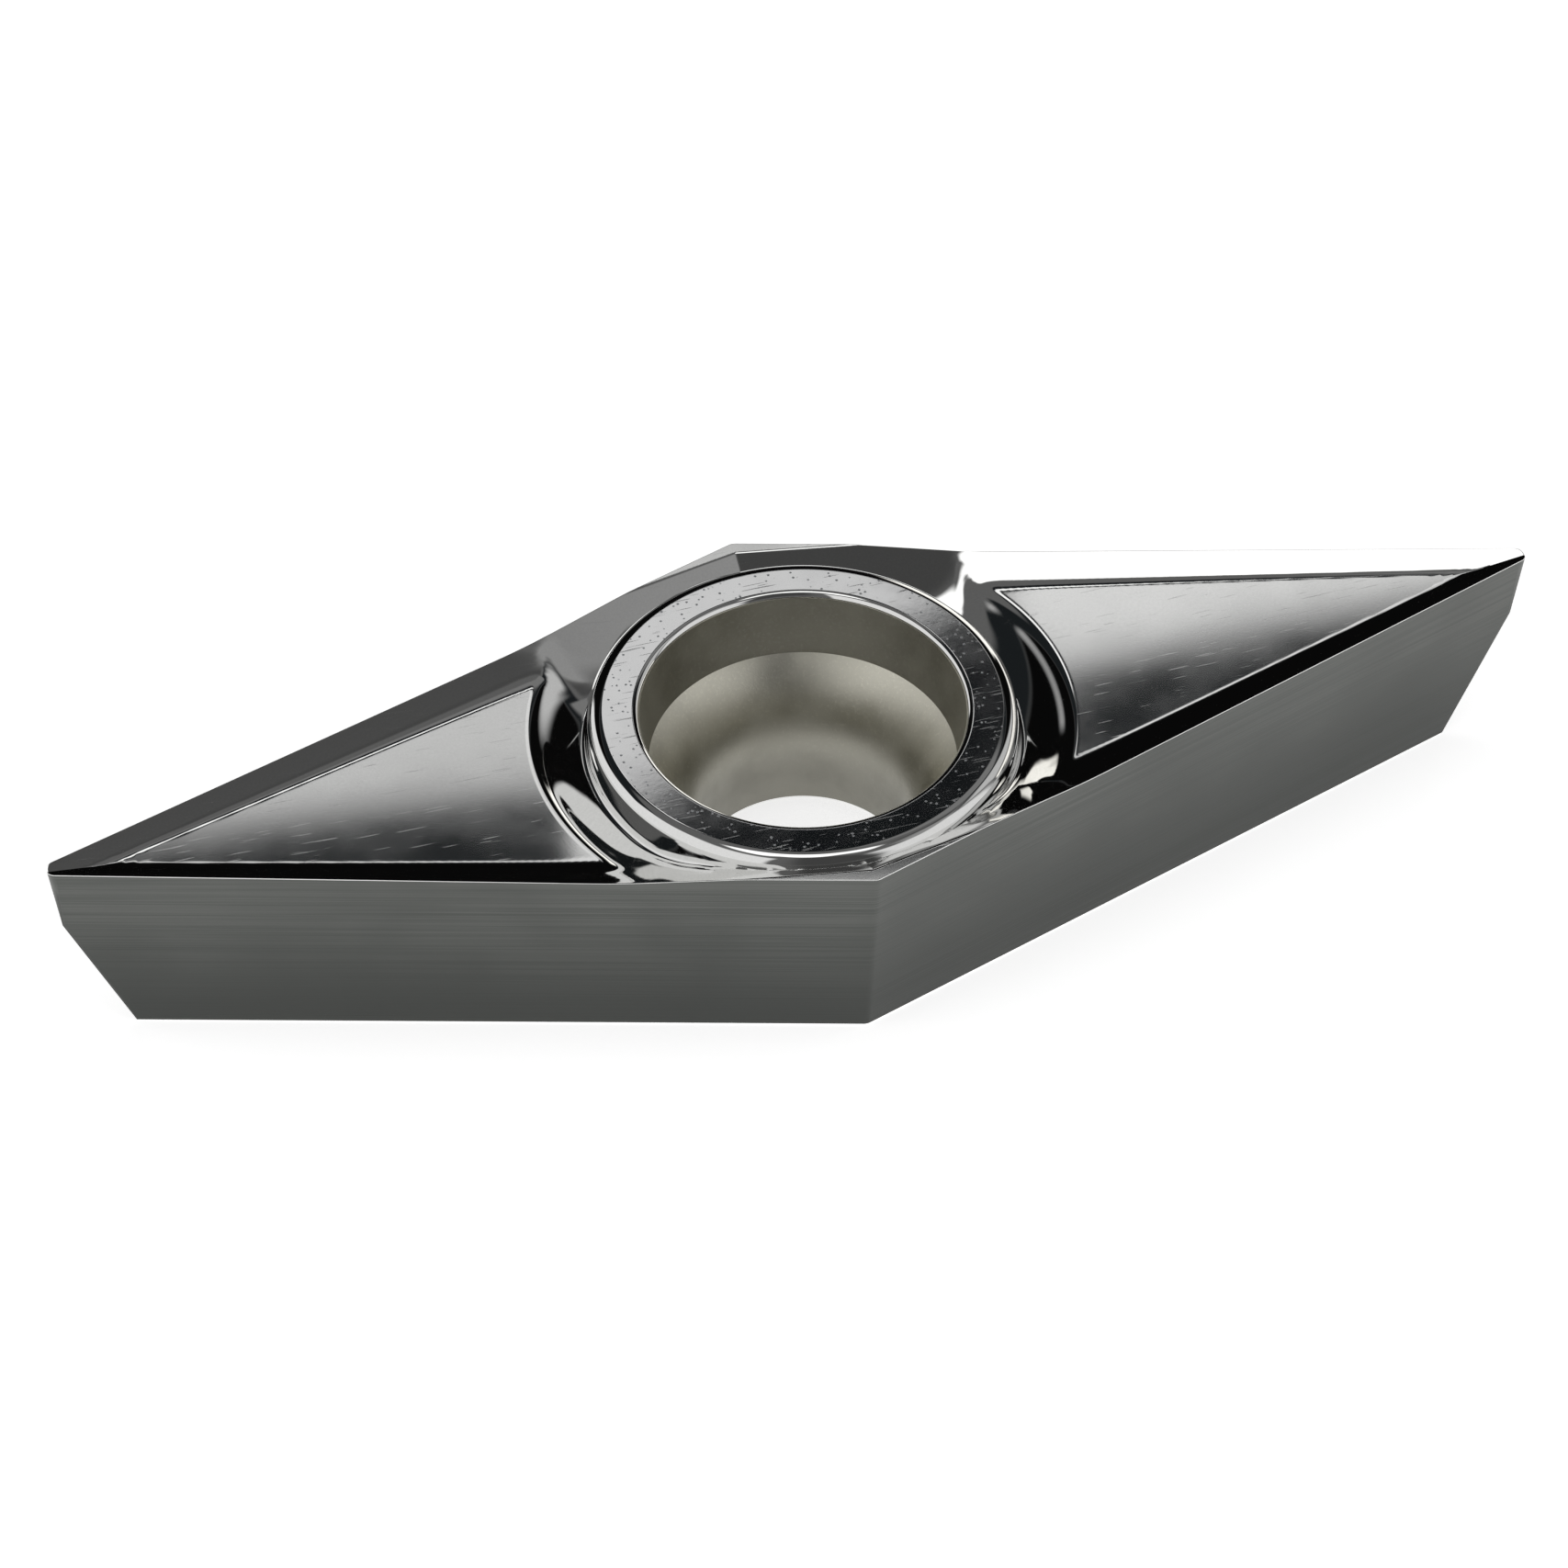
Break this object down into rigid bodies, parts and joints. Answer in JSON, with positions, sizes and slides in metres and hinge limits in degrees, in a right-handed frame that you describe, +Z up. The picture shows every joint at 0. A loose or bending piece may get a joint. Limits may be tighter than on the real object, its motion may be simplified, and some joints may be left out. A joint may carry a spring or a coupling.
{
  "type": "carbide turning insert",
  "caption": "Rhombic 35 degree positive turning insert in cemented carbide, with ground flanks, a polished chip pocket on each wing and a screw hole in a raised ring.",
  "frame": {"origin": "centre of the seating face, on the screw hole's axis", "axes": "+Z up out of the screw hole, +X along the long diagonal to a cutting nose, +Y to an obtuse corner"},
  "size_m": [0.0308, 0.01, 0.0048],
  "materials": {
    "carbide": "ground flanks with fine lines along the edges, mirror-polished rake face, sintered hole wall"
  },
  "bodies": {
    "root": {"insert": "carbide"}
  },
  "joints": []
}
